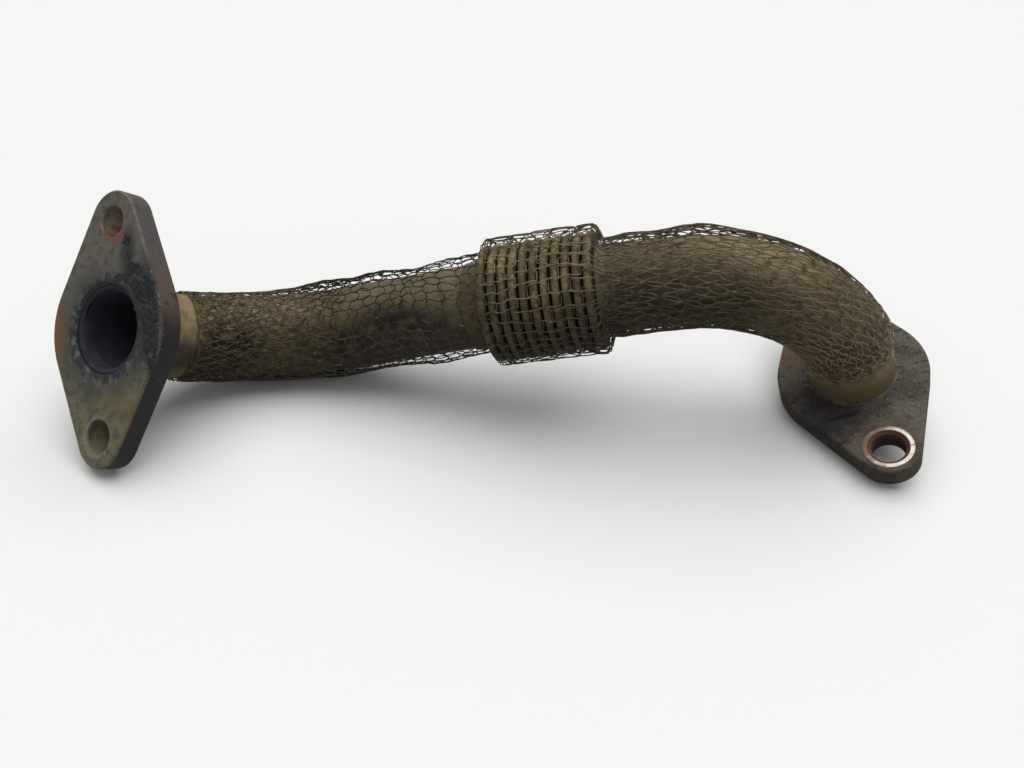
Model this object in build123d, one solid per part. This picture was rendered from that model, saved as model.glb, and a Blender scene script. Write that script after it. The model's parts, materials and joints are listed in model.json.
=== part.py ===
from build123d import *
import os
from math import cos, radians, sin, tan

# Exhaust gas recirculation pipe: a bent steel tube with a short bellows in its middle run, a two-bolt
# flange on each end and a knitted wire sleeve over all but the ends of the tube.
# It is drawn as it lies on a bench: +Z up, +X along the middle run from the inlet to the outlet.
# Lengths are in millimetres and angles in degrees.

# Tube
tube_outer = 22.0
tube_wall = 1.0
tube_recess = 1.2  # the tube stops this far short of each gasket face

# Centre line, leg by leg between the points where its straights would meet.
# A heading is the compass angle from +X, and a climb is the angle above the bench.
inlet_leg = 44.2
inlet_heading = 60.2
inlet_climb = -34.8
inlet_bend_radius = 45.0
first_run = 67.4
first_run_climb = 18.9
second_run = 49.4
second_run_climb = 14.2
outlet_leg = 47.2
outlet_heading = 35.4
outlet_climb = -64.9
outlet_bend_radius = 42.0

# Bellows: thin U-shaped convolutions between two plain cuffs that slide over the tube ends.
# Each round bend of its wall is drawn as three flats, which keeps the solid light.
convolutions = 11
pitch = 2.67
crest_diameter = 30.5
bellows_wall = 0.4
crest_bend_radius = 0.8
cuff_length = 4.8
cuff_gap = 0.05
tube_stop_gap = 0.6  # from each tube's end to the first convolution
lead_straight = 2.0  # straight tube outside each cuff, before the slight bend to the run
lead_bend_radius = 60.0

# Two-bolt flanges, the same plate at both ends
flange_thickness = 6.0
bolt_spacing = 52.0
bolt_hole = 8.4
lobe_radius = 7.8
hub_radius = 19.5
seat_gap = 0.05  # brazing gap round the tube
mouth_chamfer = 0.6
face_chamfer = 0.4
back_fillet = 0.8
spot_face_diameter = 12.4
spot_face_depth = 0.15
hole_countersink = 0.75
inlet_bolt_heading = 96.9  # compass angle of the line through each flange's bolt holes
outlet_bolt_heading = 104.9

# Knitted wire sleeve, as a thin shell of the space that the knit fills
sleeve_gap = 0.35
sleeve_wall = 0.6
sleeve_start = 20.0  # along the centre line from the inlet's gasket face
sleeve_end = 15.0  # along the centre line from the outlet's gasket face
shoulder_length = 4.0  # cone from the tube up to the bellows

# Worked out from the sizes above
tube_inner = tube_outer - 2 * tube_wall
convoluted_length = convolutions * pitch
bellows_length = convoluted_length + 2 * cuff_length
cuff_radius = tube_outer / 2 + cuff_gap + bellows_wall / 2
crest_radius = crest_diameter / 2 - bellows_wall / 2
root_bend_radius = pitch / 2 - crest_bend_radius
bellows_run = bellows_length + 2 * lead_straight + 2 * lead_bend_radius * tan(
    radians(first_run_climb - second_run_climb) / 4
)


def direction(heading, climb):
    """Unit vector with a compass heading from +X and a climb above the bench."""
    flat = cos(radians(climb))
    return Vector(flat * cos(radians(heading)), flat * sin(radians(heading)), sin(radians(climb)))


def along_plate(normal, heading):
    """Unit vector that lies in a plate with this normal and has this compass heading."""
    rise = -(normal.X * cos(radians(heading)) + normal.Y * sin(radians(heading))) / normal.Z
    return Vector(cos(radians(heading)), sin(radians(heading)), rise).normalized()


# Centre line
inlet_way = direction(inlet_heading, inlet_climb)
outlet_way = direction(outlet_heading, outlet_climb)
bellows_way = direction(0, (first_run_climb + second_run_climb) / 2)

inlet_face = Vector(0, 0, 0)
inlet_corner = inlet_face + inlet_way * inlet_leg
lead_in = inlet_corner + direction(0, first_run_climb) * first_run
lead_out = lead_in + bellows_way * bellows_run
outlet_corner = lead_out + direction(0, second_run_climb) * second_run
outlet_face = outlet_corner + outlet_way * outlet_leg
bellows_centre = (lead_in + lead_out) / 2

centre_line = FilletPolyline(
    inlet_face,
    inlet_corner,
    lead_in,
    lead_out,
    outlet_corner,
    outlet_face,
    radius=(inlet_bend_radius, lead_bend_radius, lead_bend_radius, outlet_bend_radius),
)


def ring(outer_radius, inner_radius=0):
    """Disc, or ring if it has an inner radius."""
    disc = Circle(outer_radius)
    return disc - Circle(inner_radius) if inner_radius else disc


def along(path, outer_radius, inner_radius=0):
    """Round bar or tube that follows a path."""
    start = Plane(path @ 0, z_dir=path % 0)
    return sweep(start * ring(outer_radius, inner_radius), path)


# Tubes: each is bent from one length and ends inside a bellows cuff
to_tube_end = convoluted_length / 2 + tube_stop_gap

inlet_tube_path = FilletPolyline(
    inlet_face + inlet_way * tube_recess,
    inlet_corner,
    lead_in,
    bellows_centre - bellows_way * to_tube_end,
    radius=(inlet_bend_radius, lead_bend_radius),
)
outlet_tube_path = FilletPolyline(
    bellows_centre + bellows_way * to_tube_end,
    lead_out,
    outlet_corner,
    outlet_face - outlet_way * tube_recess,
    radius=(lead_bend_radius, outlet_bend_radius),
)
inlet_tube = along(inlet_tube_path, tube_outer / 2, tube_inner / 2)
outlet_tube = along(outlet_tube_path, tube_outer / 2, tube_inner / 2)


# Bellows
def bend(place, height, radius, side):
    """Corners of the three flats of a half-circle bend: side is 1 over a crest and -1 under a root."""
    flat = radius * tan(radians(22.5))
    return [
        (place - radius, height + side * flat),
        (place - flat, height + side * radius),
        (place + flat, height + side * radius),
        (place + radius, height + side * flat),
    ]


def wall_line(offset):
    """Corners of the line at a constant offset outside the middle of the bellows wall, cuff to cuff."""
    crest_height = crest_radius - crest_bend_radius
    root_height = cuff_radius + root_bend_radius
    start = -convoluted_length / 2
    roots = [bend(start + i * pitch, root_height, root_bend_radius - offset, -1) for i in range(convolutions + 1)]
    corners = [(start - cuff_length, cuff_radius + offset), *roots[0][2:]]
    for index in range(convolutions):
        corners += bend(start + (index + 0.5) * pitch, crest_height, crest_bend_radius + offset, 1)
        corners += roots[index + 1]
    return corners[:-2] + [(-start + cuff_length, cuff_radius + offset)]


outside = wall_line(bellows_wall / 2)
inside = wall_line(-bellows_wall / 2)
bellows_section = make_face(Polyline(*outside, *reversed(inside), close=True))
bellows_place = Plane(bellows_centre, x_dir=bellows_way, z_dir=(0, -1, 0))
bellows = bellows_place * revolve(bellows_section, Axis.X)


# Flanges
def flange(face_centre, outward, bolt_heading):
    """Two-bolt plate whose gasket face is centred on a point and looks outward."""
    bolt_way = along_plate(outward, bolt_heading)
    bolts = Locations((bolt_spacing / 2, 0), (-bolt_spacing / 2, 0))
    circles = Circle(hub_radius).edges()
    for place in bolts.locations:
        circles += (place * Circle(lobe_radius)).edges()
    plate = extrude(make_hull(circles), -flange_thickness)
    plate = chamfer(plate.faces().sort_by(Axis.Z)[-1].outer_wire().edges(), face_chamfer)
    plate = fillet(plate.faces().sort_by(Axis.Z)[0].outer_wire().edges(), back_fillet)
    plate -= extrude(Circle(tube_outer / 2 + seat_gap), -flange_thickness)
    mouth = Cone(
        tube_outer / 2 + seat_gap,
        tube_outer / 2 + seat_gap + mouth_chamfer,
        mouth_chamfer,
        align=(Align.CENTER, Align.CENTER, Align.MAX),
    )
    plate -= mouth
    spot_floor = -flange_thickness + spot_face_depth
    for place in bolts.locations:
        hole = extrude(Circle(bolt_hole / 2), -flange_thickness)
        spot_face = Pos(Z=spot_floor) * extrude(Circle(spot_face_diameter / 2), -spot_face_depth)
        countersink = Pos(Z=spot_floor) * Cone(
            bolt_hole / 2 + hole_countersink,
            bolt_hole / 2,
            hole_countersink,
            align=(Align.CENTER, Align.CENTER, Align.MIN),
        )
        plate -= place * (hole + spot_face + countersink)
    return Plane(face_centre, x_dir=bolt_way, z_dir=outward) * plate


inlet_flange = flange(inlet_face, -inlet_way, inlet_bolt_heading)
outlet_flange = flange(outlet_face, outlet_way, outlet_bolt_heading)


# Knitted sleeve: close on the tube, with a cone at each end of the bellows
def sleeve_body(tube_radius, bellows_radius):
    """Solid of revolution and sweep that the sleeve's inner or outer surface bounds."""
    total = centre_line.length
    covered = centre_line.trim(sleeve_start / total, 1 - sleeve_end / total)
    half = convoluted_length / 2
    bulge = Polyline(
        (-half - shoulder_length, 0),
        (-half - shoulder_length, tube_radius),
        (-half, bellows_radius),
        (half, bellows_radius),
        (half + shoulder_length, tube_radius),
        (half + shoulder_length, 0),
        close=True,
    )
    return along(covered, tube_radius) + bellows_place * revolve(make_face(bulge), Axis.X)


sleeve_tube_radius = tube_outer / 2 + cuff_gap + bellows_wall + sleeve_gap
sleeve_bellows_radius = crest_diameter / 2 + sleeve_gap
wire_sleeve = sleeve_body(sleeve_tube_radius + sleeve_wall, sleeve_bellows_radius + sleeve_wall) - sleeve_body(
    sleeve_tube_radius, sleeve_bellows_radius
)

# The origin is on the bench, under the middle of the pipe's box
pieces = {
    "inlet_flange": inlet_flange,
    "inlet_tube": inlet_tube,
    "bellows": bellows,
    "outlet_tube": outlet_tube,
    "outlet_flange": outlet_flange,
    "wire_sleeve": wire_sleeve,
}
box = Compound([piece for piece in pieces.values()]).bounding_box()
to_bench = Pos(-(box.min.X + box.max.X) / 2, -(box.min.Y + box.max.Y) / 2, -box.min.Z)

os.makedirs("parts", exist_ok=True)
for name, piece in pieces.items():
    export_step(to_bench * piece, f"parts/{name}.step")
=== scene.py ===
# Looks of a used exhaust gas recirculation pipe: heat-tinted tube and bellows, two steel flanges and a
# knitted wire sleeve. Lengths are in metres, +Z is up, and the CAD pieces stay where they are.
import json
import bpy
import numpy as np
from mathutils import Matrix, Vector


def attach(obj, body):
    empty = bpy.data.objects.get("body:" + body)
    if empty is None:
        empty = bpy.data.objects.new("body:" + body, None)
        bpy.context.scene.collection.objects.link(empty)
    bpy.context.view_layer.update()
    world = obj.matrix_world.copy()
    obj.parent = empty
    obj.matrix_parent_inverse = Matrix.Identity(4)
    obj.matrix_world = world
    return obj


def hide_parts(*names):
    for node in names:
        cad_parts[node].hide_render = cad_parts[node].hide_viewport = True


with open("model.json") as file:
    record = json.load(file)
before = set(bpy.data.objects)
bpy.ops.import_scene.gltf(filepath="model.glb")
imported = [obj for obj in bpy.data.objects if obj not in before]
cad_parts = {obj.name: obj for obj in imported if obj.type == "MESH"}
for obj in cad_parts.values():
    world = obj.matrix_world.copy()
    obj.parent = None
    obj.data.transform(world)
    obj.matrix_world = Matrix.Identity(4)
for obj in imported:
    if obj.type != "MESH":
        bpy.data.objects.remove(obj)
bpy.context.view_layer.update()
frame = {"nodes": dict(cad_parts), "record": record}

# Inlet flange: a forged steel plate with two bolt holes, pushed over the tube's end and brazed there.
# Its gasket face is grey-olive oxide with soot round the bore and rust along one rim; its side wall is
# darker, grey-brown above and nearly black below: painted shade, darker towards the bottom.
MM = 0.001
FAR = float("inf")
mounts = {mount["name"]: mount for mount in frame["record"]["mounts"]}
bolt_way_in_plate = Vector((-0.07869, 0.65027, 0.75562))
flange_thickness = 6.0
bolt_reach = 26.0


def linear(colour):
    """Linear RGBA of an sRGB hex colour: c / 12.92 below 0.04045, else ((c + 0.055) / 1.055) ** 2.4."""
    parts = [int(colour[i : i + 2], 16) / 255 for i in (1, 3, 5)]
    return (*[c / 12.92 if c <= 0.04045 else ((c + 0.055) / 1.055) ** 2.4 for c in parts], 1.0)


def add_node(tree, kind, links=(), output=0, **settings):
    """One shader node: settings go on it, and links fill its sockets, in order or by name.

    A link is a value or another node's output. Gives the node's first output, or the one asked for.
    """
    node = tree.nodes.new("ShaderNode" + kind)
    for name, value in settings.items():
        setattr(node, name, value)
    for socket, value in (links if isinstance(links, dict) else dict(enumerate(links))).items():
        if isinstance(value, bpy.types.NodeSocket):
            tree.links.new(value, node.inputs[socket])
        else:
            node.inputs[socket].default_value = value
    return node.outputs[output]


def new_material(name, **constants):
    """A material, its node tree and its one Principled shader, with the constants set on its sockets."""
    material = bpy.data.materials.new(name)
    material.use_nodes = True
    tree = material.node_tree
    shader = tree.nodes["Principled BSDF"]
    for socket, value in constants.items():
        shader.inputs[socket.title()].default_value = value
    return material, tree, shader


def finish(tree, shader, height=None, depth_mm=0.0, **patterns):
    """Links each pattern to the shader's socket of its name, and a height of 0 to 1 as relief of depth_mm."""
    if height is not None:
        patterns["normal"] = add_node(tree, "Bump", {"Height": height, "Distance": depth_mm * MM})
    for name, pattern in patterns.items():
        tree.links.new(pattern, shader.inputs[name.replace("_", " ").title()])


def place_in_mm(tree, centre=(0, 0, 0), rows=((1, 0, 0), (0, 1, 0), (0, 0, 1))):
    """Object coordinates in mm, measured from centre along three unit rows: rows times (place - centre)."""
    turn = Matrix(rows)
    moved = {
        "Vector": add_node(tree, "TexCoord", output="Object"),
        "Location": -1 / MM * (turn @ Vector(centre)),
        "Rotation": turn.to_euler(),
        "Scale": (1 / MM, 1 / MM, 1 / MM),
    }
    return add_node(tree, "Mapping", moved)


def noise(tree, place, size_mm, detail=3.0, roughness=0.55, stretch=(1, 1, 1)):
    """Cloudy value from 0 to 1 whose blots are about size_mm across."""
    stretched = add_node(tree, "VectorMath", (place, stretch), operation="MULTIPLY")
    cloud = {"Vector": stretched, "Scale": 1 / size_mm, "Detail": detail, "Roughness": roughness}
    return add_node(tree, "TexNoise", cloud)


def mask(tree, *parts):
    """Product of its parts, each a number, another mask, or a three of value, low and high.

    Such a three is 0 where value is low and 1 where it is high, and smooth between them.
    """
    product = None
    for part in parts:
        if isinstance(part, tuple):
            part = add_node(tree, "MapRange", part, interpolation_type="SMOOTHSTEP")
        product = part if product is None else add_node(tree, "Math", (product, part), operation="MULTIPLY")
    return product


def coat(tree, under, over, *parts):
    """Colour over laid on colour under: under * (1 - m) + over * m, where m is the mask of parts."""
    colours = [linear(colour) if isinstance(colour, str) else colour for colour in (under, over)]
    return add_node(tree, "MixRGB", (mask(tree, *parts), *colours))


def spot(tree, place, centre, radii, edge, ragged):
    """Mask of an ellipsoid, its edge broken up by the ragged noise.

    With d = |(place - centre) / radii| + ragged - 0.5 it is 1 under d = 1 - edge and 0 over d = 1 + edge.
    """
    moved = add_node(tree, "VectorMath", (place, centre), operation="SUBTRACT")
    shape = [1 / radius for radius in radii]
    scaled = add_node(tree, "VectorMath", (moved, shape), operation="MULTIPLY")
    length = add_node(tree, "VectorMath", (scaled,), "Value", operation="LENGTH")
    offset = add_node(tree, "Math", (ragged, 0.5), operation="SUBTRACT")
    return mask(tree, (add_node(tree, "Math", (length, offset), operation="ADD"), 1 + edge, 1 - edge))


def refinish(node_name, material):
    """Puts a material on every slot of a CAD node."""
    slots = frame["nodes"][node_name].data.materials
    slots.clear()
    slots.append(material)


def plate_rows(outward, along):
    """Unit rows of a flange's own axes: across the bolt line, along it, and out of its gasket face.

    Along loses the part of it that points outward, and across is along x outward.
    """
    outward = Vector(outward).normalized()
    along = (along - outward * along.dot(outward)).normalized()
    return [along.cross(outward), along, outward]


inlet_face = Vector(mounts["inlet_bolts"]["pos_m"])
inlet_rows = plate_rows(mounts["inlet_bolts"]["axis"], bolt_way_in_plate)

# Sooted steel: rough matt oxide, so nearly no reflection, with a faint grain from the forging.
flange_material, tree, shader = new_material("sooted_oxidised_steel", roughness=0.75)
place = place_in_mm(tree, inlet_face, inlet_rows)
across, along, above = (add_node(tree, "SeparateXYZ", (place,), axis) for axis in "XYZ")
coarse = noise(tree, place, 8.0)
medium = noise(tree, place, 2.4, 5.0, 0.6)
fine = noise(tree, place, 0.5, 4.0, 0.7)
on_face = mask(tree, (above, -0.75, -0.3))
# how far up the plate, made uneven by 8 mm each way
uneven = 16.0
height_up = add_node(tree, "Math", (along, uneven / 2), operation="SUBTRACT")
height_up = add_node(tree, "Math", (coarse, uneven, height_up), operation="MULTIPLY_ADD")
# painted shade: the side wall runs from nearly black low on the plate to grey-brown high up
side = coat(tree, "#141312", "#4f4a47", (height_up, -8.0, 14.0))
side_rust = spot(tree, place, (18.0, 9.0, -3.0), (6.0, 6.0, 6.0), 0.5, coarse)
side = coat(tree, side, "#5f4434", side_rust, 0.5)
side = coat(tree, side, "#191817", (medium, 0.54, 0.66), 0.8)
chips = noise(tree, place, 0.9)
side = coat(tree, side, "#8a8b88", (chips, 0.68, 0.74), (height_up, 3.0, -3.0))
face = coat(tree, "#73704f", "#6d695f", (height_up, -6.0, 14.0))
plum = noise(tree, place, 4.0, 4.0, 0.6)
face = coat(tree, face, "#6a6066", (plum, 0.5, 0.64), 0.6)
face = coat(tree, face, "#4d4f43", (medium, 0.47, 0.62), 0.8)
face = coat(tree, face, "#716f5c", (fine, 0.6, 0.75), 0.5)
face = coat(tree, face, "#37362f", (fine, 0.42, 0.3), 0.6)
ochre = spot(tree, place, (7.5, -17.0, 0.0), (5.0, 4.0, FAR), 0.5, medium)
face = coat(tree, face, "#6b643f", ochre, 0.6)
halo = spot(tree, place, (-1.5, -1.5, 0.0), (16.0, 14.8, FAR), 0.3, coarse)
face = coat(tree, face, "#3b3e3e", halo, 0.85)
burnt = spot(tree, place, (14.0, 3.0, 0.0), (6.5, 15.0, FAR), 0.35, medium)
burnt_above = spot(tree, place, (6.2, 18.5, 0.0), (2.4, 5.5, FAR), 0.6, medium)
burnt = add_node(tree, "Math", (burnt, burnt_above), operation="MAXIMUM")
face = coat(tree, face, "#25282a", burnt, 0.85)
ash = spot(tree, place, (-1.0, -1.5, 0.0), (13.2, 12.8, FAR), 0.06, fine)
face = coat(tree, face, "#80827c", ash, (medium, 0.5, 0.6), 0.45)
# the pale line that the gasket's edge left
outer_line, inner_line = (
    spot(tree, place, (0.0, 0.0, 0.0), (radius, radius, FAR), 0.02, medium) for radius in (18.2, 17.6)
)
gasket_line = add_node(tree, "Math", (outer_line, inner_line), operation="SUBTRACT")
face = coat(tree, face, "#7c807b", gasket_line, (fine, 0.42, 0.55), (across, 6.0, 12.0))
rim = spot(tree, place, (0.0, 0.0, 0.0), (12.3, 12.3, FAR), 0.07, medium)
face = coat(tree, face, "#25282b", rim)
rim_rust = spot(tree, place, (-20.5, -1.5, 0.0), (5.4, 11.0, FAR), 0.4, coarse)
low_rust = spot(tree, place, (11.0, -20.5, 0.0), (1.7, 2.0, FAR), 0.5, medium)
hole_rust = spot(tree, place, (1.6, 22.6, 0.0), (2.6, 2.0, FAR), 0.4, medium)
face_rust = add_node(tree, "Math", (mask(tree, low_rust, 0.6), hole_rust), operation="MAXIMUM")
rust = add_node(tree, "Math", (rim_rust, mask(tree, face_rust, on_face)), operation="MAXIMUM")
colour = coat(tree, side, face, on_face)
colour = coat(tree, colour, "#7f5335", rust, 0.85)
# the walls of the two bolt holes, rust-brown above and olive below, and the pale lip of the lower one
for hole_at, wall_colour in ((bolt_reach, "#9c8874"), (-bolt_reach, "#77715a")):
    wall = spot(tree, place, (0.0, hole_at, 0.0), (4.6, 4.6, FAR), 0.02, 0.5)
    colour = coat(tree, colour, wall_colour, wall, (above, -0.05, -0.2))
outer_lip = spot(tree, place, (-0.4, -bolt_reach - 0.3, 0.0), (5.0, 5.0, FAR), 0.05, medium)
inner_lip = spot(tree, place, (0.2, -bolt_reach + 0.2, 0.0), (4.4, 4.4, FAR), 0.05, 0.5)
lip = add_node(tree, "Math", (outer_lip, inner_lip), operation="SUBTRACT")
colour = coat(tree, colour, "#85816b", (lip, 0.2, 0.6), on_face)
grain = add_node(tree, "Math", (medium, fine), operation="ADD")
finish(tree, shader, grain, 0.1, base_color=colour)
refinish("inlet_flange", flange_material)

# Gasket crust: what is left of the burnt gasket, a thin flaky crescent baked on the inlet's face beside
# the bore, with a tongue across its top. It is blue-black, with greyer broken flakes.
crust_height = 0.35
crust_root = 0.3
points_per_corner = 24
points_across = 41
turn_smoothing = 20
# points of each patch's middle line on the face (x and y in the plate's own axes) and its half width
crust_patches = {
    "gasket_crescent": (
        (16.9, -10.6, 0.2), (16.6, -8.0, 1.1), (16.3, -5.0, 2.1), (15.8, -1.0, 2.7), (15.2, 2.5, 3.0),
        (14.3, 6.3, 3.3), (12.5, 9.8, 3.4), (9.8, 12.2, 2.9), (7.9, 14.5, 2.3), (7.0, 16.2, 0.3),
    ),
    "gasket_flake_near": ((7.6, 16.6, 0.3), (6.7, 17.8, 1.3), (6.6, 18.9, 0.3)),
    "gasket_flake_far": ((6.2, 19.9, 0.3), (5.6, 21.4, 1.4), (4.8, 22.8, 0.3)),
    "gasket_tongue": ((9.0, 11.4, 1.3), (6.0, 12.2, 1.1), (3.4, 12.6, 0.7), (1.6, 12.4, 0.2)),
}


def waves(seed, first, second, length_mm, whole_turns=False, count=7):
    """Smooth random field, about -1 to 1: a sum of sines of first / length + second / length.

    With whole_turns the second is an angle, and each sine goes round a whole number of times.
    """
    draw = np.random.default_rng(seed)
    if whole_turns:
        turns = draw.integers(-4, 5, count)
    else:
        turns = draw.uniform(-1.6, 1.6, count) * 2 * np.pi / length_mm
    rates = draw.uniform(0.5, 1.6, count) * 2 * np.pi / length_mm
    phases = draw.uniform(0, 2 * np.pi, count)
    sines = (np.sin(rates[i] * first + turns[i] * second + phases[i]) for i in range(count))
    return sum(sines) / np.sqrt(count)


def closed_surface(name, places, material, joined=False):
    """Closed mesh of a grid of places in mm, as an object that rides on the pipe.

    Each row of the grid closes into a ring. Quads join neighbouring rings, and the last ring joins the
    first or each end gets a flat cap. The faces turn round if the volume inside them is negative: the sum
    of a . (b x c + c x d) over the quads abcd, measured from the middle.
    """
    rows, columns = places.shape[:2]
    grid = np.arange(rows * columns).reshape(rows, columns)
    below = np.roll(grid, -1, axis=0)
    quads = np.stack([grid, np.roll(grid, -1, axis=1), np.roll(below, -1, axis=1), below], -1)
    quads = (quads if joined else quads[:-1]).reshape(-1, 4)
    points = places.reshape(-1, 3)
    a, b, c, d = (points[quads[:, i]] - points.mean(0) for i in range(4))
    volume = np.einsum("ij,ij->", a, np.cross(b, c) + np.cross(c, d))
    caps = [] if joined else [grid[0][::-1], grid[-1]]
    if volume < 0:
        quads, caps = quads[:, ::-1], [cap[::-1] for cap in caps]
    corners = np.concatenate([quads.ravel(), *caps]).astype(np.int32)
    starts = np.concatenate([np.arange(len(quads)) * 4, len(quads) * 4 + np.arange(len(caps)) * columns])
    mesh = bpy.data.meshes.new(name)
    mesh.vertices.add(len(points))
    mesh.vertices.foreach_set("co", (points * MM).astype(np.float32).ravel())
    mesh.loops.add(len(corners))
    mesh.loops.foreach_set("vertex_index", corners)
    mesh.polygons.add(len(starts))
    mesh.polygons.foreach_set("loop_start", starts.astype(np.int32))
    mesh.update(calc_edges=True)
    mesh.polygons.foreach_set("use_smooth", np.ones(len(starts), bool))
    mesh.validate()
    mesh.materials.append(material)
    piece = bpy.data.objects.new(name, mesh)
    bpy.context.scene.collection.objects.link(piece)
    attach(piece, "root")
    return piece


def on_plate(x, y, z):
    """Places in mm from the inlet flange's own axes: the face's centre + x, y and z times its unit rows."""
    rows = np.array([list(row) for row in inlet_rows])
    return np.array(inlet_face) / MM + np.stack([x, y, z], -1) @ rows


# Burnt gasket: rough graphite and soot, blue-black, grey where it has flaked.
crust_material, tree, shader = new_material("burnt_gasket_crust", roughness=0.7)
place = place_in_mm(tree, inlet_face, inlet_rows)
medium = noise(tree, place, 2.2, 5.0, 0.65)
fine = noise(tree, place, 0.5, 4.0, 0.7)
colour = coat(tree, "#1c1f22", "#34383a", (medium, 0.48, 0.66))
colour = coat(tree, colour, "#777a78", (fine, 0.58, 0.7), (medium, 0.45, 0.55))
grain = add_node(tree, "Math", (medium, fine), operation="ADD")
finish(tree, shader, grain, 0.25, base_color=colour)

for name, points in crust_patches.items():
    x, y, half = np.array(points).T
    # u runs along the middle line, v from edge to edge over the top, then back underneath
    u = np.linspace(0, len(x) - 1, points_per_corner * len(x))[:, None]
    v = np.concatenate([np.linspace(-1, 1, points_across), np.linspace(1, -1, points_across)])[None, :]
    under = np.arange(2 * points_across)[None, :] >= points_across
    middle_x, middle_y, width = (np.interp(u, np.arange(len(x)), values) for values in (x, y, half))
    # the width runs square to the middle line and is ragged at its edge
    turn = np.arctan2(np.gradient(middle_y[:, 0]), np.gradient(middle_x[:, 0]))
    window = np.full(2 * turn_smoothing + 1, 1 / (2 * turn_smoothing + 1))
    turn = np.convolve(np.pad(np.unwrap(turn), turn_smoothing, "edge"), window, "valid")[:, None]
    around = middle_y + 9 * v
    ragged = width * (1 + 0.12 * waves(11, middle_x, around, 2.4) + 0.25 * waves(12, middle_x, around, 6.0))
    place_x = middle_x + v * ragged * np.sin(turn)
    place_y = middle_y - v * ragged * np.cos(turn)
    # the crust rises over the half millimetre next to its edge, and is lumpy from there on
    lumps = 0.75 + 0.35 * waves(13, place_x, place_y, 2.0) + 0.2 * waves(14, place_x, place_y, 0.7)
    lumps = np.clip((1 - np.abs(v)) * ragged / 0.5, 0, 1) * lumps
    height = np.where(under, -crust_root, crust_height * lumps - 0.03)
    closed_surface(name, on_plate(place_x, place_y, height), crust_material)

# Rust scale: iron oxide that damp and heat have grown on the walls of the inlet's two bolt holes, round
# the studs. It is a thin rough lining, with a lump of scale on one side of each hole's far end.
hole_radius = 4.2
scale_radius = 4.02
scale_waviness = 0.07
scale_rings = 16
scale_sides = 64
lump_height = 1.4
lump_start, lump_length = -1.8, 2.6

# Iron oxide: dry and matt, light brown in the upper hole and olive in the lower one. The upper hole's
# lighter colour is partly painted light, against the shade inside the hole.
scale_material, tree, shader = new_material("dry_rust_scale", roughness=0.85)
place = place_in_mm(tree, inlet_face, inlet_rows)
along = add_node(tree, "SeparateXYZ", (place,), "Y")
medium = noise(tree, place, 1.5, 5.0, 0.65)
# the upper hole's paler colour: partly rust, partly painted light against the shade in the hole
colour = coat(tree, "#706b55", "#8f8373", (along, -1.0, 1.0))
orange_rust = spot(tree, place, (-2.0, 22.6, -1.5), (3.4, 1.7, 3.0), 0.4, medium)
colour = coat(tree, colour, "#7d5136", orange_rust, 0.9)
colour = coat(tree, colour, "#4d473c", (medium, 0.52, 0.66), 0.6)
finish(tree, shader, medium, 0.12, base_color=colour)

for name, hole_at, lump_gap in (
    ("upper_hole_scale", bolt_reach, 3.2),
    ("lower_hole_scale", -bolt_reach, 0.0),
):
    # in at the face, down the lining, out at the back, and up again inside the plate
    down = np.linspace(-0.05, -5.6, scale_rings)
    depth = np.concatenate([[-0.18, -0.1], down, [-5.72, -5.7, -0.6]])[None, :]
    lined = np.full(scale_rings, scale_radius)
    radius = np.concatenate([[4.35, hole_radius], lined, [hole_radius, 5.2, 4.5]])[None, :]
    lining = radius == scale_radius
    angle = np.linspace(0, 2 * np.pi, scale_sides, endpoint=False)[:, None]
    radius = radius + lining * scale_waviness * waves(15, depth, angle, 4.0, True)
    # the lump grows from its start on down, on one side
    lump = lump_height * np.maximum(-np.cos(angle), 0) * np.clip((lump_start - depth) / lump_length, 0, 1)
    lump = lump * np.clip(1.0 + lump_gap * np.sin(angle), 0, 1)
    radius = radius - lining * lump
    places = on_plate(radius * np.cos(angle), hole_at + radius * np.sin(angle), depth + 0 * angle)
    closed_surface(name, places, scale_material, joined=True)

# Outlet flange: the same plate, seen from the tube's side, left as forged: coarse grain, brown and grey
# oxide, dark pits, a painted shadow of the pipe beside the tube, and a bright spot face that the bolt
# head has rubbed round the near hole.
outlet_face = Vector(mounts["outlet_bolts"]["pos_m"])
outlet_bolt_way = Vector((-0.25374, 0.95363, 0.16189))
outlet_rows = plate_rows(mounts["outlet_bolts"]["axis"], outlet_bolt_way)
spot_radius = 6.2
countersink_radius = 5.15

# Forged steel skin: matt and grainy, with bare metal only where the bolt head rubbed.
forged_material, tree, shader = new_material("as_forged_oxidised_steel")
place = place_in_mm(tree, outlet_face, outlet_rows)
above = add_node(tree, "SeparateXYZ", (place,), "Z")
coarse = noise(tree, place, 7.0)
medium = noise(tree, place, 1.9, 5.0, 0.65, (0.6, 1.2, 1))
fine = noise(tree, place, 0.45, 4.0, 0.75)
colour = coat(tree, "#4b4740", "#686359", (coarse, 0.38, 0.62))
colour = coat(tree, colour, "#5d4a42", (medium, 0.46, 0.36), 0.6)
colour = coat(tree, colour, "#2f2c29", (medium, 0.52, 0.66), 0.85)
colour = coat(tree, colour, "#8a8377", (fine, 0.55, 0.67), 0.75)
colour = coat(tree, colour, "#262422", (fine, 0.46, 0.34), 0.9)
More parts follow.
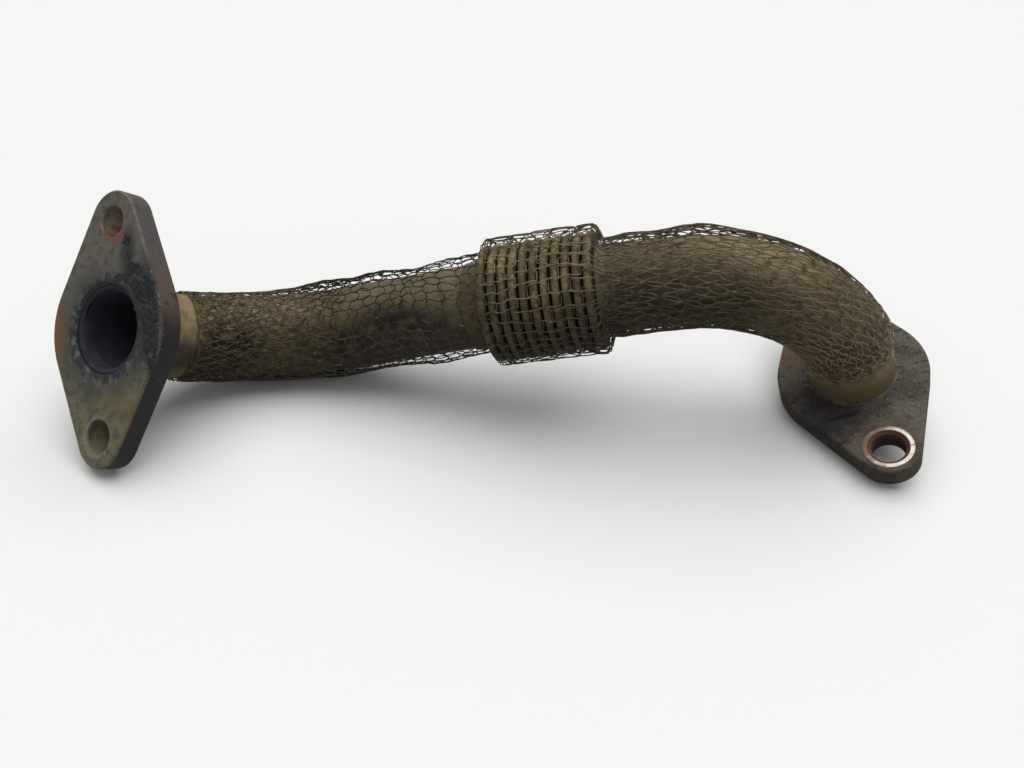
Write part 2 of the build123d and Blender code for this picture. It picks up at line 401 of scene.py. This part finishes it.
# painted shadow: a dark patch beside the tube, where the pipe shades the plate
pipe_shadow_patch = spot(tree, place, (10.0, -11.0, -6.0), (9.0, 9.0, 4.0), 0.5, coarse)
colour = coat(tree, colour, "#252423", pipe_shadow_patch, 0.7)
red_patch = spot(tree, place, (14.0, 11.0, -6.0), (4.0, 4.0, 4.0), 0.5, medium)
colour = coat(tree, colour, "#7a5a4c", red_patch, 0.6)
hole_brown = spot(tree, place, (-1.0, -bolt_reach, -6.0), (8.6, 8.6, 3.0), 0.2, medium)
colour = coat(tree, colour, "#5f4c3b", hole_brown, 0.35)
crack = spot(tree, place, (6.8, -13.6, -6.0), (4.2, 0.7, 1.0), 0.5, medium)
colour = coat(tree, colour, "#131211", crack, 0.9)
near_side = mask(tree, (above, -flange_thickness + 0.35, -flange_thickness + 0.2))
rubbed_disc, in_hole = (
    spot(tree, place, (0.0, -bolt_reach, 0.0), (radius, radius, FAR), edge, 0.5)
    for radius, edge in ((spot_radius, 0.02), (countersink_radius, 0.05))
)
ring = add_node(tree, "Math", (rubbed_disc, in_hole), operation="SUBTRACT")
ring = mask(tree, (ring, 0.2, 0.7), near_side)
worn = spot(tree, place, (-3.6, -bolt_reach - 2.6, -6.0), (8.2, 8.2, 6.0), 0.3, medium)
bright = mask(tree, ring, worn, (medium, 0.72, 0.55))
colour = coat(tree, colour, "#644530", in_hole, (above, -2.5, -4.5))
colour = coat(tree, colour, "#4b3f35", in_hole, (above, -4.5, -2.5))
colour = coat(tree, colour, "#8a7562", ring)
colour = coat(tree, colour, "#ece4da", bright)
roughness = mask(tree, (bright, 1.9, -0.1))
grain = add_node(tree, "Math", (medium, 1.5, fine), operation="MULTIPLY_ADD")
finish(tree, shader, grain, 0.22, base_color=colour, metallic=bright, roughness=roughness)
refinish("outlet_flange", forged_material)

# Gas tube: two bent lengths of 22 mm stainless tube. Exhaust heat has tinted its bare ends straw; the
# rest, under the sleeve, is olive-brown with greasy black areas, and painted shade darkens its underside
# there.
tube_radius = 11.0
tube_recess = 1.2
legs = (44.2, 67.4, 45.43, 49.4, 47.2)
bend_radii = (45.0, 60.0, 60.0, 42.0)
crown_way = np.array((-0.12315, 0.6147, 0.77909))
run_ways = (
    -Vector(mounts["inlet_bolts"]["axis"]),
    Vector((0.94609, 0, 0.32392)),
    Vector((0.95857, 0, 0.28485)),
    Vector((0.96945, 0, 0.24531)),
    Vector(mounts["outlet_bolts"]["axis"]),
)


def centre_line(spacing=0.2):
    """The pipe's centre line in mm: straight runs between corners, each corner rounded by a tangent arc.

    On an arc a point is hub + radius * (sin(t) * way - cos(t) * towards), and the direction turns with it.
    Gives places, ways, crowns (the way that the sleeve's top faces) and lengths along the line.
    """
    ways = [np.array(way) / np.linalg.norm(way) for way in run_ways]
    corner = np.array(inlet_face) / MM
    places, tangents = [], []
    start = corner.copy()
    for index, leg in enumerate(legs):
        corner = corner + ways[index] * leg
        last = index == len(bend_radii)
        turn = 0.0 if last else np.arccos(ways[index] @ ways[index + 1])
        back = 0.0 if last else bend_radii[index] * np.tan(turn / 2)
        end = corner - ways[index] * back
        share = np.linspace(0, 1, max(2, int(np.linalg.norm(end - start) / spacing)), endpoint=last)
        places.append(start + share[:, None] * (end - start))
        tangents.append(np.repeat(ways[index][None], len(share), 0))
        if not last:
            towards = ways[index + 1] - ways[index] * np.cos(turn)
            towards /= np.linalg.norm(towards)
            bend = bend_radii[index]
            angle = np.linspace(0, turn, max(2, int(turn * bend / spacing)), endpoint=False)[:, None]
            hub = end + towards * bend
            places.append(hub + bend * (np.sin(angle) * ways[index] - np.cos(angle) * towards))
            tangents.append(np.cos(angle) * ways[index] + np.sin(angle) * towards)
            start = corner + ways[index + 1] * back
    places, tangents = np.concatenate(places), np.concatenate(tangents)
    crowns = crown_way - tangents * (tangents @ crown_way)[:, None]
    crowns /= np.linalg.norm(crowns, axis=1)[:, None]
    steps = np.linalg.norm(np.diff(places, axis=0), axis=1)
    return places, tangents, crowns, np.concatenate([[0], np.cumsum(steps)])


line_places, line_ways, line_crowns, line_lengths = centre_line()
pipe_length = line_lengths[-1]


def on_pipe(along, angle, radius):
    """Places at a length along the pipe, an angle from its crown and a distance from its centre line.

    The place is centre + radius * out, where out is cos(angle) * crown + sin(angle) * side. Gives out too.
    """
    along, angle, radius = np.broadcast_arrays(along, angle, radius)
    centre, way, crown = (
        np.stack([np.interp(along, line_lengths, line[:, i]) for i in range(3)], -1)
        for line in (line_places, line_ways, line_crowns)
    )
    out = np.cos(angle)[..., None] * crown + np.sin(angle)[..., None] * np.cross(way, crown)
    return centre + radius[..., None] * out, out


def blot(tree, place, along, degrees, size, edge, ragged):
    """Mask of a round blot on the pipe at a length and an angle from the crown."""
    centre = on_pipe(along, np.radians(degrees), tube_radius)[0]
    return spot(tree, place, centre.tolist(), size, edge, ragged)


# Heat-tinted stainless: a satin metal, straw where bare, with matt dirt under the sleeve and painted
# shade on the underside there.
tube_material, tree, shader = new_material("heat_tinted_stainless", metallic=0.25)
place = place_in_mm(tree)
from_inlet = add_node(tree, "SeparateXYZ", (place_in_mm(tree, inlet_face, inlet_rows),), "Z")
from_outlet = add_node(tree, "SeparateXYZ", (place_in_mm(tree, outlet_face, outlet_rows),), "Z")
coarse = noise(tree, place, 13.0)
medium = noise(tree, place, 3.0, 5.0, 0.6)
fine = noise(tree, place, 0.5, 4.0, 0.7)
# painted shade, with grime: the more the surface faces down, the darker it is painted
up = add_node(tree, "SeparateXYZ", (add_node(tree, "NewGeometry", output="Normal"),), "Z")
facing_up = add_node(tree, "Math", (medium, 0.3, up), operation="MULTIPLY_ADD")
underside_shade_and_grime = mask(tree, (facing_up, 1.12, -0.1))
straw = coat(tree, "#97835c", "#857753", (coarse, 0.4, 0.6))
straw = coat(tree, straw, "#6b5c43", (medium, 0.48, 0.62), 0.6)
for stain, along, degrees, size, amount in (
    ("#2d2923", 16.5, 122, (6.0, 4.2, 4.2), 0.9),
    ("#8a6248", 14.0, 40, (4.0, 4.0, 3.0), 0.6),
):
    straw = coat(tree, straw, stain, blot(tree, place, along, degrees, size, 0.4, medium), amount)
straw = coat(tree, straw, "#766a4d", (from_outlet, -14.5, -9.0))
dirt_and_shade = coat(tree, "#74684b", "#8b7b57", (coarse, 0.4, 0.6))
dirt_and_shade = coat(tree, dirt_and_shade, "#a18c66", blot(tree, place, 38, 40, (20, 14, 14), 0.5, medium), 0.6)
dirt_and_shade = coat(tree, dirt_and_shade, "#544e3a", (medium, 0.48, 0.64), 0.7)
for stain, along, degrees, size, edge, amount in (
    ("#7d6548", 148, 58, (5, 5, 5), 0.5, 0.5),
    ("#7d7353", 90, 45, (26, 14, 14), 0.4, 0.7),
    ("#8b7a52", 67, 100, (6, 6, 6), 0.5, 0.5),
    ("#a9936e", 182, 40, (34, 20, 20), 0.5, 0.8),
):
    dirt_and_shade = coat(tree, dirt_and_shade, stain, blot(tree, place, along, degrees, size, edge, medium), amount)
grease = blot(tree, place, 31, 112, (13, 9, 7), 0.4, medium)
for along, degrees, size, edge in ((88, 118, (16, 10, 7), 0.45), (72, 128, (12, 9, 6), 0.5)):
    more = blot(tree, place, along, degrees, size, edge, medium)
    grease = add_node(tree, "Math", (grease, more), operation="MAXIMUM")
dirt_and_shade = coat(tree, dirt_and_shade, "#1f1e1a", grease, (medium, 0.25, 0.6))
# painted shade: two dark patches on the underside, under the net near the outlet and past the bellows
dirt_and_shade = coat(tree, dirt_and_shade, "#3d3626", blot(tree, place, 198, 112, (24, 17, 15), 0.5, medium), 0.45)
dirt_and_shade = coat(tree, dirt_and_shade, "#2e2a1f", blot(tree, place, 159, 118, (19, 12, 9), 0.5, medium), 0.5)
# a patch on the underside and the last stretch before the outlet are left without the painted shade and grime
wiped_and_unshaded = blot(tree, place, 47, 125, (16, 14, 14), 0.5, medium)
last_stretch = mask(tree, (from_outlet, -54.0, -42.0))
less_shade_and_grime = add_node(tree, "Math", (last_stretch, mask(tree, wiped_and_unshaded, 0.9)), operation="MAXIMUM")
underside_shade_and_grime = mask(tree, underside_shade_and_grime, add_node(tree, "Math", (1.0, less_shade_and_grime), operation="SUBTRACT"))
dirt_and_shade = coat(tree, dirt_and_shade, "#1d1b16", underside_shade_and_grime, 0.85)
dirt_and_shade = coat(tree, dirt_and_shade, "#2f2c22", (fine, 0.5, 0.66), 0.6)
specks = noise(tree, place, 1.6, 4.0, 0.7)
dirt_and_shade = coat(tree, dirt_and_shade, "#2a281f", (specks, 0.55, 0.68), 0.6)
covered = mask(tree, (from_inlet, -17.5, -20.5), (from_outlet, -15.0, -17.0))
colour = coat(tree, straw, dirt_and_shade, covered)
inlet_end, outlet_end = (mask(tree, (from_face, -2.2, -1.8)) for from_face in (from_inlet, from_outlet))
end_soot = add_node(tree, "Math", (inlet_end, outlet_end), operation="MAXIMUM")
colour = coat(tree, colour, "#17181a", end_soot)
grain = add_node(tree, "Math", (medium, fine), operation="ADD")
finish(tree, shader, grain, 0.04, base_color=colour, roughness=mask(tree, (medium, -0.7, 1.3)))
refinish("inlet_tube", tube_material)
refinish("outlet_tube", tube_material)

# Braze: a small hollow fillet of filler metal all round each tube, where it comes out of its flange's
# back. The filler was melted there and drawn into the joint.
braze_reach = 0.8
braze_root = 0.3
fillet_points = 9
braze_sides = 96

# Tarnished braze filler: dull brown-gold, with darker clouds.
braze_material, tree, shader = new_material("tarnished_braze_filler", roughness=0.7)
place = place_in_mm(tree)
colour = coat(tree, "#5f543e", "#3b3529", (noise(tree, place, 2.5, 4.0), 0.4, 0.65))
finish(tree, shader, noise(tree, place, 0.8), 0.06, base_color=colour)

for name, back_of_plate, way in (
    ("inlet_braze", flange_thickness, 1),
    ("outlet_braze", pipe_length - flange_thickness, -1),
):
    # a quarter circle hollow from the tube to the plate, then straight back through both
    quarter = np.linspace(0, np.pi / 2, fillet_points)
    away = np.concatenate([braze_reach * (1 - np.sin(quarter)), (-braze_root, -braze_root, braze_reach)])
    hollow = tube_radius + braze_reach * (1 - np.cos(quarter))
    inner = tube_radius - braze_root
    radius = np.concatenate([hollow, (tube_radius + braze_reach, inner, inner)])
    angle = np.linspace(0, 2 * np.pi, braze_sides, endpoint=False)[:, None]
    swell = 1 + 0.12 * waves(21, away * 0, angle, 9.0, True)
    radius = tube_radius + (radius - tube_radius) * swell
    places, _ = on_pipe(back_of_plate + way * away * swell, angle, radius)
    closed_surface(name, places, braze_material, joined=True)

# Soot lining: what the exhaust gas has left on each tube's bore and over its end ring, a lumpy coat of
# carbon that heat has baked on. It runs from the open end to the bellows.
soot_thickness = 0.3
bore_radius = 10.0
bellows_at = 122.4
bellows_gap = 15.3
soot_spacing = 1.0
soot_sides = 72

# Baked soot: matt blue-black with a little grey bloom.
soot_material, tree, shader = new_material("baked_soot", roughness=0.95)
place = place_in_mm(tree)
colour = coat(tree, "#252a31", "#343a44", (noise(tree, place, 3.0, 5.0, 0.65), 0.45, 0.68))
finish(tree, shader, noise(tree, place, 0.7, 4.0, 0.7), 0.15, base_color=colour)

for name, face_at, way, reach in (
    ("inlet_soot", 0.0, 1, bellows_at - bellows_gap),
    ("outlet_soot", pipe_length, -1, pipe_length - bellows_at - bellows_gap),
):
    # over the tube's end ring, down its bore, and back inside its wall
    bore = np.arange(tube_recess + 0.4, reach, soot_spacing)
    depth = np.concatenate([tube_recess + np.array((0.3, -0.25, -0.3, -0.1)), bore, bore[::-1]])
    inner, outer = (np.full(len(bore), size) for size in (bore_radius - soot_thickness, bore_radius + 0.05))
    over_ring = tube_radius + soot_thickness
    radius = np.concatenate([(over_ring, over_ring, tube_radius - 0.5, bore_radius - 0.05), inner, outer])
    lumpy = radius == bore_radius - soot_thickness
    angle = np.linspace(0, 2 * np.pi, soot_sides, endpoint=False)[None, :]
    lumps = soot_thickness * 0.5 * waves(31, depth[:, None], angle, 7.0, True) * lumpy[:, None]
    places, _ = on_pipe(face_at + way * depth[:, None], angle, radius[:, None] + lumps)
    closed_surface(name, places, soot_material, joined=True)

# Bellows: eleven thin U-shaped folds of stainless sheet, hydroformed, brazed over the tube ends by its
# plain cuffs. The crests are rubbed olive-brown and slightly dented, and the roots are near black.
# Painted shade darkens the sheet and its cuffs towards the bottom.
folds = 11
fold_pitch = 2.67
cuff_length = 4.8
crest_radius = 15.25
root_radius = 11.45
crest_bend = 1.0
root_bend = 0.335
dent_depth = 0.1
bend_points = 9
bellows_sides = 144
folded_half = folds * fold_pitch / 2

# the wall's outer line: plain cuff, then a half circle over each crest and under each root
half_turn = np.linspace(np.pi, 0, bend_points)
fold_places = -folded_half + (np.arange(folds) + 0.5)[:, None] * fold_pitch
root_places = fold_places + fold_pitch / 2
crest_line, root_line = (
    np.stack(
        np.broadcast_arrays(middles + bend * np.cos(half_turn), hub + way * bend * np.sin(half_turn)), axis=-1
    )
    for middles, bend, hub, way in (
        (fold_places, crest_bend, crest_radius - crest_bend, 1),
        (root_places, root_bend, root_radius + root_bend, -1),
    )
)
# the last root stops halfway, where the cuff goes on straight
wall = np.concatenate([crest_line, root_line], 1).reshape(-1, 2)[: -(bend_points // 2 + 1)]
cuff_end = folded_half + cuff_length
first_cuff = [(-cuff_end, tube_radius), (-cuff_end, root_radius), (-folded_half, root_radius)]
wall = np.concatenate([first_cuff, wall, [(cuff_end, root_radius), (cuff_end, tube_radius)]])
angle = np.linspace(0, 2 * np.pi, bellows_sides, endpoint=False)[:, None]
above_root = (wall[:, 1] - root_radius) / (crest_radius - root_radius)
dents = np.clip(above_root, 0, 1) * (dent_depth * waves(41, wall[:, 0], angle, 7.0, True) - dent_depth / 2)
places, _ = on_pipe(bellows_at + wall[:, 0], angle, wall[:, 1] + dents)

# Dirty heat-tinted sheet: duller than the tube, dark in the roots by its distance from the axis, and
# darker towards the bottom as painted shade.
bellows_material, tree, shader = new_material("dirty_and_shaded_heat_tinted_sheet", metallic=0.25)
bellows_way, level = run_ways[2].normalized(), Vector((0, 1, 0))
bellows_rows = [bellows_way, level, bellows_way.cross(level)]
bellows_middle = on_pipe(bellows_at, 0.0, 0.0)[0] * MM
place = place_in_mm(tree, bellows_middle.tolist(), bellows_rows)
flat = add_node(tree, "VectorMath", (place, (0, 1, 1)), operation="MULTIPLY")
distance = add_node(tree, "VectorMath", (flat,), "Value", operation="LENGTH")
along, up = (add_node(tree, "SeparateXYZ", (place,), axis) for axis in "XZ")
sideways = add_node(tree, "Math", (along,), operation="ABSOLUTE")
coarse = noise(tree, place, 5.0)
medium = noise(tree, place, 1.8, 4.0, 0.65)
fine = noise(tree, place, 0.5, 4.0, 0.7)
# painted shade: the sheet is darker towards the bottom, with an uneven edge
height_up = add_node(tree, "Math", (coarse, 6.0, up), operation="MULTIPLY_ADD")
underside_shade_and_grime = mask(tree, (height_up, 22.0, -5.0))
colour = coat(tree, "#67623a", "#9c8a5e", (coarse, 0.43, 0.57))
colour = coat(tree, colour, "#5d4a3c", (medium, 0.5, 0.4), 0.8)
colour = coat(tree, colour, "#3f3d2e", (medium, 0.52, 0.64), 0.8)
red_crest = spot(tree, place, (10.5, -7.0, 13.0), (2.4, 7.0, 6.0), 0.4, medium)
colour = coat(tree, colour, "#7d6350", red_crest, 0.5)
colour = coat(tree, colour, "#3a372b", (fine, 0.54, 0.7), 0.6)
colour = coat(tree, colour, "#1f1e18", underside_shade_and_grime, 0.85)
from_axis = add_node(tree, "Math", (fine, 0.6, distance), operation="MULTIPLY_ADD")
cuff = mask(tree, (sideways, folded_half - 0.2, folded_half + 0.4))
# painted shade on the cuffs: darker towards their bottom
cuff_height = add_node(tree, "Math", (medium, 8.0, up), operation="MULTIPLY_ADD")
colour = coat(tree, colour, "#7a6f50", cuff, 0.85)
colour = coat(tree, colour, "#24231e", cuff, (cuff_height, 9.0, -1.0), 0.85)
# the crests and cuffs keep their colour, and the roots, nearer the axis, are near black
paler_parts = add_node(tree, "Math", (mask(tree, (from_axis, 12.6, 15.0)), cuff), operation="MAXIMUM")
colour = coat(tree, "#191712", colour, paler_parts)
finish(tree, shader, medium, 0.06, base_color=colour, roughness=mask(tree, (fine, -0.9, 1.3)))
folded_sheet = closed_surface("folded_sheet", places, bellows_material, joined=True)
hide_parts("bellows")

# Knitted sleeve: a stocking of thin steel wire, weft-knitted round in one spiral, drawn over the pipe.
# It grips the bends, stands off the straight runs as a baggy net, and bulges over the bellows.
wales = 17
wire_radius = 0.15
loop_samples = 28
wire_sides = 6
sleeve_start, sleeve_end = 19.8, 211.4
loop_depth = 0.15
tight_gap = 0.3
net_middle, net_half, shoulder = 123.1, 13.9, 1.9
groove_dip = 1.1
# a loop's wire starts to slip into its groove where cos t squared is slip_start, slip_range before it is in
slip_start, slip_range = 0.4, 0.35
# radians from one loop to the next, so that no two loops next to each other are alike
loop_to_loop = 2.399
# course spacing by length along the pipe, and how many courses a loop reaches each way: where the knit
# is bunched up its courses are close and its loops overlap the next ones
spacing_stations = (15, 20, 26, 48, 60, 70, 80, 95, 105, 109, 136, 139, 150, 158, 170, 184, 204, 208, 214)
spacing_values = (
    1.0, 1.1, 1.4, 1.5, 1.9, 2.6, 3.1, 3.6, 4.1, 5.34, 5.34, 1.6, 1.6, 1.8, 1.8, 1.7, 1.6, 0.9, 0.8,
)
height_values = (
    0.9, 1.1, 1.8, 1.8, 1.5, 0.95, 0.75, 0.6, 0.6, 0.75, 0.75, 1.8, 1.8, 1.6, 1.6, 1.5, 1.5, 1.1, 0.9,
)
# how far each loop's legs bow apart, as a share of a wale, and how much the legs are straightened (more
# than 0) or pinched (less than 0): 0.13 pinched leaves hexagons, 0.1 straightened leaves parallel lines
bow_stations = (15, 58, 74, 104, 109, 136, 140, 214)
bow_values = (0.03, 0.03, 0.13, 0.13, 0.1, 0.1, 0.03, 0.05)
straight_values = (0, 0, -0.02, -0.02, 0.025, 0.025, 0, 0)
# how far each course is turned from the last where the knit is bunched up, and how unevenly, in wales
turn_stations = (15, 60, 72, 138, 142, 214)
turn_values = (0.46, 0.46, 0, 0, 0.46, 0.46)
jitter_values = (0.09, 0.09, 0.05, 0.03, 0.09, 0.07)
# how far the net stands off on its crown side and on its belly side
crown_stations = (15, 28, 45, 61, 80, 88, 100, 106, 110, 137, 141, 150, 161, 172, 186, 204, 210, 214)
crown_values = (0.1, 0.2, 0.5, 1.7, 1.8, 1.1, 1.6, 2.0, 1.0, 1.3, 1.3, 1.5, 2.0, 1.0, 0.3, 0.3, 0.9, 0.9)
belly_stations = (15, 40, 61, 80, 90, 104, 109, 137, 141, 150, 180, 204, 210, 214)
belly_values = (0.1, 0.3, 1.3, 0.9, 1.4, 1.5, 0.3, 0.3, 0.7, 0.4, 0.2, 0.2, 0.9, 0.9)


def net_radius(along, angle):
    """Distance of the net from the centre line: body + wire + gap + slack, where body is tube or bellows.

    Slack is crown * ((1 + cos angle) / 2) ** 2 + belly * ((1 - cos angle) / 2) ** 2, made a little uneven.
    """
    over_bellows = np.clip((net_half + shoulder - np.abs(along - net_middle)) / shoulder, 0, 1)
    body = tube_radius + (crest_radius - tube_radius) * over_bellows**2 * (3 - 2 * over_bellows)
    crown = np.interp(along, crown_stations, crown_values) * ((1 + np.cos(angle)) / 2) ** 2
    belly = np.interp(along, belly_stations, belly_values) * ((1 - np.cos(angle)) / 2) ** 2
    ease = 1 + 0.22 * waves(5, along, angle, 26.0, True)
    return body + wire_radius + tight_gap + (crown + belly) * ease


def knitted_wire():
    """Places along the one wire of the knit, its outward directions, lengths along the pipe and angles.

    Loop number n counts round and round. Within a loop t goes 0 to 2 pi: the wire moves round the pipe by
    t / 2 pi + bow * sin 2t + straight * sin 4t wales, along it by -height * cos t courses, and in and out
    by -depth * cos 2t. Sines of n make the loops uneven, and where the knit is bunched up each course is
    turned from the last. Over the bellows each loop's two ends, where cos t is near 1 or -1, slip into the
    nearest groove.
    """
    stations = np.linspace(sleeve_start - 12, sleeve_end + 12, 2000)
    spacing = np.interp(stations, spacing_stations, spacing_values)
    courses = np.concatenate([[0], np.cumsum(np.diff(stations) / ((spacing[1:] + spacing[:-1]) / 2))])
    first, last = np.interp((sleeve_start, sleeve_end), stations, courses)
    loops = int((last - first) * wales)
    t = np.arange(loops * loop_samples + 1) * (2 * np.pi / loop_samples)
    count = t / (2 * np.pi)
    uneven = 1 + 0.10 * np.sin(count * loop_to_loop) + 0.08 * np.sin(count * 0.731 + 1.0)
    even_course = first + count / wales
    even_along = np.interp(even_course, courses, stations)
    turn = np.interp(stations, turn_stations, turn_values)
    turned = np.concatenate([[0], np.cumsum(turn[1:] * np.diff(courses))])
    sideways = np.interp(even_course, courses, turned)
    jitter = np.interp(even_along, turn_stations, jitter_values)
    sideways = sideways + jitter * (np.sin(count * loop_to_loop + 0.5) + 0.5 * np.sin(count * 1.13))
    height = np.interp(even_along, spacing_stations, height_values)
    # the first and the last round are plain, and hold the loops next to them
    height = height * np.clip(np.minimum(count, loops - count) / wales - 1, 0, 1)
    course = even_course - height * uneven * np.cos(t)
    along = np.interp(course, courses, stations)
    bow = np.interp(along, bow_stations, bow_values) * uneven
    straight = np.interp(along, bow_stations, straight_values)
    angle = 2 * np.pi / wales * (count + sideways + bow * np.sin(2 * t) + straight * np.sin(4 * t))
    over_bellows = np.abs(along - bellows_at) < folded_half
    angle = angle + 0.06 * waves(1, along, angle, 34.0, True) + 0.014 * waves(4, along, angle, 7.0, True)
    along = along + 0.7 * waves(2, along, angle, 26.0, True)
    end_t = np.pi * np.round(t / np.pi)
    end = np.interp(first + end_t / (2 * np.pi * wales) - height * uneven * np.cos(end_t), courses, stations)
    groove = bellows_at + fold_pitch * (np.round((end - bellows_at) / fold_pitch - 0.5) + 0.5)
    into_groove = np.clip((np.cos(t) ** 2 - slip_start) / slip_range, 0, 1)
    in_reach = over_bellows & (np.abs(groove - bellows_at) < folded_half)
    into_groove = into_groove**2 * (3 - 2 * into_groove) * in_reach
    along = along + into_groove * (groove - along)
    radius = net_radius(along, angle) - loop_depth * np.cos(2 * t) + 0.06 * waves(3, along, angle, 6.0, True)
    places, outs = on_pipe(along, angle, radius - groove_dip * into_groove)
    return places, outs, along, angle


def sweep(places, outs, radius, sides):
    """Round section carried along a path: place + radius * (cos a * out + sin a * side), a from 0 to 2 pi."""
    ways = np.gradient(places, axis=0)
    ways /= np.linalg.norm(ways, axis=1)[:, None]
    side = np.cross(ways, outs)
    side /= np.linalg.norm(side, axis=1)[:, None]
    top = np.cross(side, ways)
    a = np.linspace(0, 2 * np.pi, sides, endpoint=False)[None, :, None]
    return places[:, None] + radius * (np.cos(a) * top[:, None] + np.sin(a) * side[:, None])


places, outs, along, angle = knitted_wire()
wire_rings = sweep(places, outs, wire_radius, wire_sides)

# Oxidised wire: dull brown metal, pale on the lit side over the bellows and at the outlet's end, partly
# worn bare and partly painted highlight. Painted shade darkens it on the pipe's underside, and it has
# painted glints.
# It reads where it is on the pipe (length in mm, then angle from the crown in degrees) from the mesh.
wire_material, tree, shader = new_material("oxidised_steel_wire", metallic=0.5)
place = place_in_mm(tree)
on_sleeve = add_node(tree, "Attribute", output="Vector", attribute_name="pipe_place")
along_pipe, from_crown = (add_node(tree, "SeparateXYZ", (on_sleeve,), axis) for axis in "XY")
coarse = noise(tree, place, 8.0)
medium = noise(tree, place, 2.0, 4.0)
# pale wire: partly worn bare, partly painted highlight where light falls on the net
paler_parts = spot(tree, on_sleeve, (bellows_at + 1.0, 64.0, 0.0), (15.5, 50.0, FAR), 0.3, medium)
for centre, size, amount in (
    ((164.0, 92.0, 0.0), (22.0, 48.0, FAR), 0.5),
    ((200.0, 112.0, 0.0), (26.0, 70.0, FAR), 1.0),
):
    more = mask(tree, spot(tree, on_sleeve, centre, size, 0.4, coarse), amount)
    paler_parts = add_node(tree, "Math", (paler_parts, more), operation="MAXIMUM")
colour = coat(tree, "#3f3829", "#6b6148", (medium, 0.42, 0.62))
sooty = spot(tree, on_sleeve, (86.0, 30.0, 0.0), (26.0, 74.0, FAR), 0.3, coarse)
colour = coat(tree, colour, "#231f18", sooty, 0.9)
colour = coat(tree, colour, "#8a7e60", paler_parts, (medium, 0.3, 0.55))
# painted shade: the wire is darker on the pipe's underside, fading out towards the outlet's end
round_pipe = add_node(tree, "Math", (medium, 30.0, from_crown), operation="MULTIPLY_ADD")
colour = coat(tree, colour, "#1e1c17", (round_pipe, 85.0, 165.0), (along_pipe, 200.0, 175.0), 0.52)
glints = noise(tree, place, 1.1, 2.0)
colour = coat(tree, colour, "#8a836f", (glints, 0.62, 0.72), 0.7)
finish(tree, shader, base_color=colour, roughness=mask(tree, (medium, -0.5, 1.5)))

# three lengths of the one wire, so that none has too many triangles
names = ("sleeve_knit_inlet", "sleeve_knit_bellows", "sleeve_knit_outlet")
cuts = np.linspace(0, len(wire_rings) - 1, len(names) + 1).astype(int)
for name, begin, end in zip(names, cuts[:-1], cuts[1:]):
    knit = closed_surface(name, wire_rings[begin : end + 1], wire_material)
    turned = np.degrees(np.abs((angle[begin : end + 1] + np.pi) % (2 * np.pi) - np.pi))
    on_pipe_there = np.stack([along[begin : end + 1], turned, turned * 0], -1)
    stored = knit.data.attributes.new("pipe_place", "FLOAT_VECTOR", "POINT")
    values = np.repeat(on_pipe_there, wire_sides, axis=0).astype(np.float32)
    stored.data.foreach_set("vector", values.ravel())
    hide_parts("wire_sleeve")

# Bench: a plain board faced with white laminate, that the pipe lies on. It is shown white to the camera,
# and darker to the light that it throws back at the pipe.
floor_half = 3.0
bpy.ops.mesh.primitive_plane_add(size=2 * floor_half)
floor = bpy.context.object
floor.name = "bench"

# White laminate: matt, so it takes a soft shadow and shows no reflection of the pipe.
floor_material, tree, shader = new_material("matt_white_laminate", roughness=0.9)
seen = 0.0
for ray in ("Is Camera Ray", "Is Glossy Ray", "Is Transmission Ray"):
    seen = add_node(tree, "Math", (seen, add_node(tree, "LightPath", output=ray)), operation="MAXIMUM")
finish(tree, shader, base_color=coat(tree, "#565654", "#f4f4f3", seen))
floor.data.materials.append(floor_material)

# Room and window light: a plain white room all round, and one wide soft light from above and a little
# behind, so that the pipe's soft shadow falls in front of it. The light's width is in radians.
room_strength = 0.35
sun_strength = 2.22
sun_width = 1.3
sun_way = (0.1, 0.3, 1.0)

world = bpy.data.worlds.new("soft_room")
world.use_nodes = True
bpy.context.scene.world = world
background = world.node_tree.nodes["Background"]
background.inputs["Color"].default_value = linear("#ffffff")
background.inputs["Strength"].default_value = room_strength

light = bpy.data.objects.new("window", bpy.data.lights.new("window", "SUN"))
light.data.energy = sun_strength
light.data.angle = sun_width
light.rotation_euler = Vector(sun_way).to_track_quat("Z", "Y").to_euler()
bpy.context.scene.collection.objects.link(light)

# Camera: the photograph's view, from above and in front. Its place in mm, its directions and its focal
# length were found by fitting the pipe's holes, bores and outline to the photograph.
camera_place = Vector((20.1, -190.0, 159.2))
look_way = Vector((-0.07585, 0.77691, -0.62502))
camera_right = Vector((0.98949, 0.13604, 0.04905))
focal_length_px = 900
frame_width_px = 1024
sensor_width = 36.0

camera = bpy.data.objects.new("camera", bpy.data.cameras.new("camera"))
camera.data.sensor_width = sensor_width
camera.data.lens = focal_length_px / frame_width_px * sensor_width
camera.data.clip_start = 0.01
right, back = camera_right.normalized(), -look_way.normalized()
turn = Matrix((right, back.cross(right), back)).transposed().to_4x4()
camera.matrix_world = Matrix.Translation(camera_place * MM) @ turn
bpy.context.scene.collection.objects.link(camera)
bpy.context.scene.camera = camera
bpy.context.scene.view_settings.view_transform = "Standard"
